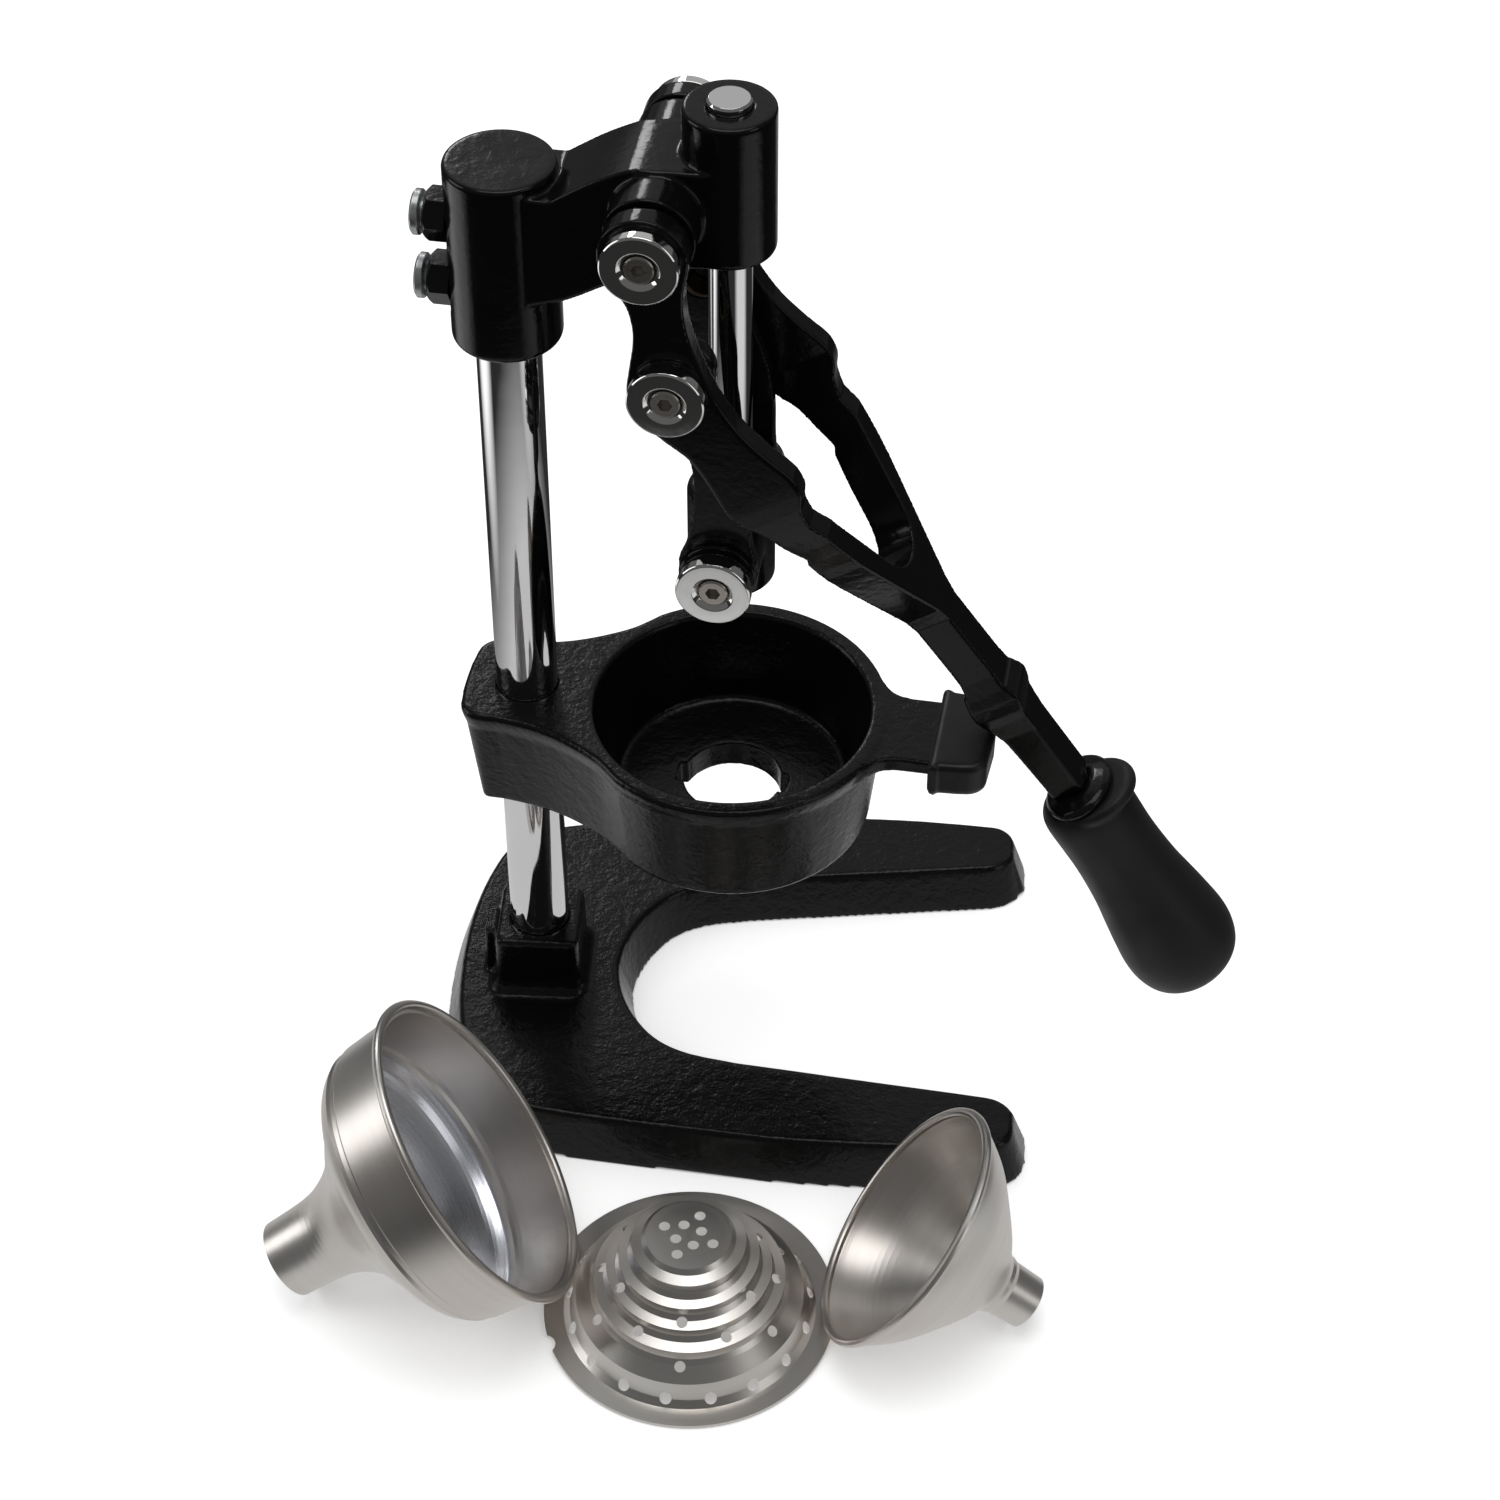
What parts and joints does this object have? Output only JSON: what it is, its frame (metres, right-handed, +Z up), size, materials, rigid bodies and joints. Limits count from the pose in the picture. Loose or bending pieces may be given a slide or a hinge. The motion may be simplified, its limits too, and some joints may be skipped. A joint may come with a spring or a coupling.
{
  "type": "citrus press juicer",
  "caption": "Hand lever citrus press: black cast horseshoe base and bowl, chromed column, toggle lever with rubber grip, straight ram, loose steel funnel, strainer and press cup.",
  "frame": {"origin": "on the column's axis, on the surface that the press stands on (the base's underside)", "axes": "+X from the column towards the bowl and the handle, +Z up along the column, Y across the lever's pivots"},
  "size_m": [0.3744, 0.3412, 0.4745],
  "materials": {
    "black_enamel": "gloss black stove enamel with a slight orange peel",
    "column_chrome": "hard chromed, polished",
    "cap_chrome": "turned, chromed, with a satin face",
    "zinc": "bright zinc plated",
    "screw_steel": "stainless steel, machined",
    "stainless_sheet": "drawn stainless sheet, satin with turning marks",
    "bronze": "sintered bronze",
    "rubber": "satin black moulded rubber"
  },
  "bodies": {
    "stand": {"base_casting": "black_enamel", "base_grub_screws": "zinc", "column": "column_chrome", "bowl_bracket": "black_enamel", "bracket_grub_screws": "zinc", "bumper_boot": "rubber", "head_casting": "black_enamel", "head_set_bolts": "zinc", "head_lock_nuts": "black_enamel"},
    "lever_arm": {"lever": "black_enamel", "head_pivot_shaft": "screw_steel", "head_pivot_caps": "cap_chrome", "head_cap_screws": "screw_steel", "middle_pivot_pins": "screw_steel", "middle_pivot_caps": "cap_chrome", "middle_cap_screws": "screw_steel", "grip_collar": "black_enamel", "grip": "rubber"},
    "ram": {"ram_rod": "column_chrome", "ram_crosshead": "black_enamel", "cup_retaining_ring": "rubber", "crosshead_pin": "screw_steel", "crosshead_caps": "cap_chrome", "crosshead_cap_screws": "screw_steel"},
    "links": {"link_near": "black_enamel", "link_far": "black_enamel", "link_bushes": "bronze"},
    "funnel": {"juice_funnel": "stainless_sheet"},
    "strainer_cone": {"strainer": "stainless_sheet"},
    "cup": {"press_cup": "stainless_sheet"}
  },
  "joints": [
    {"name": "lever_swing", "type": "hinge", "parent": "stand", "child": "lever_arm", "pos_m": [0.061, 0, 0.4335], "axis": [0, -1, 0], "range_deg": [0, 90]},
    {"name": "ram_slide", "type": "slide", "parent": "stand", "child": "ram", "axis": [0, 0, 1], "range_m": [0, 0.07177]},
    {"name": "link_swing", "type": "hinge", "parent": "ram", "child": "links", "pos_m": [0.0845, 0, 0.2795], "axis": [0, 1, 0], "range_deg": [0, 29.73]},
    {"name": "funnel_lift", "type": "slide", "parent": "stand", "child": "funnel", "axis": [0, 0, 1], "range_m": [0, 0.25]},
    {"name": "strainer_draw", "type": "slide", "parent": "stand", "child": "strainer_cone", "axis": [0, -1, 0], "range_m": [0, 0.15]},
    {"name": "cup_lift", "type": "slide", "parent": "stand", "child": "cup", "axis": [0, 0, 1], "range_m": [0, 0.25]}
  ],
  "couplings": [
    {"joint": "ram_slide", "follows": "lever_swing", "m_per_rad": 0.045624},
    {"joint": "link_swing", "follows": "lever_swing", "ratio": 0.32976}
  ]
}
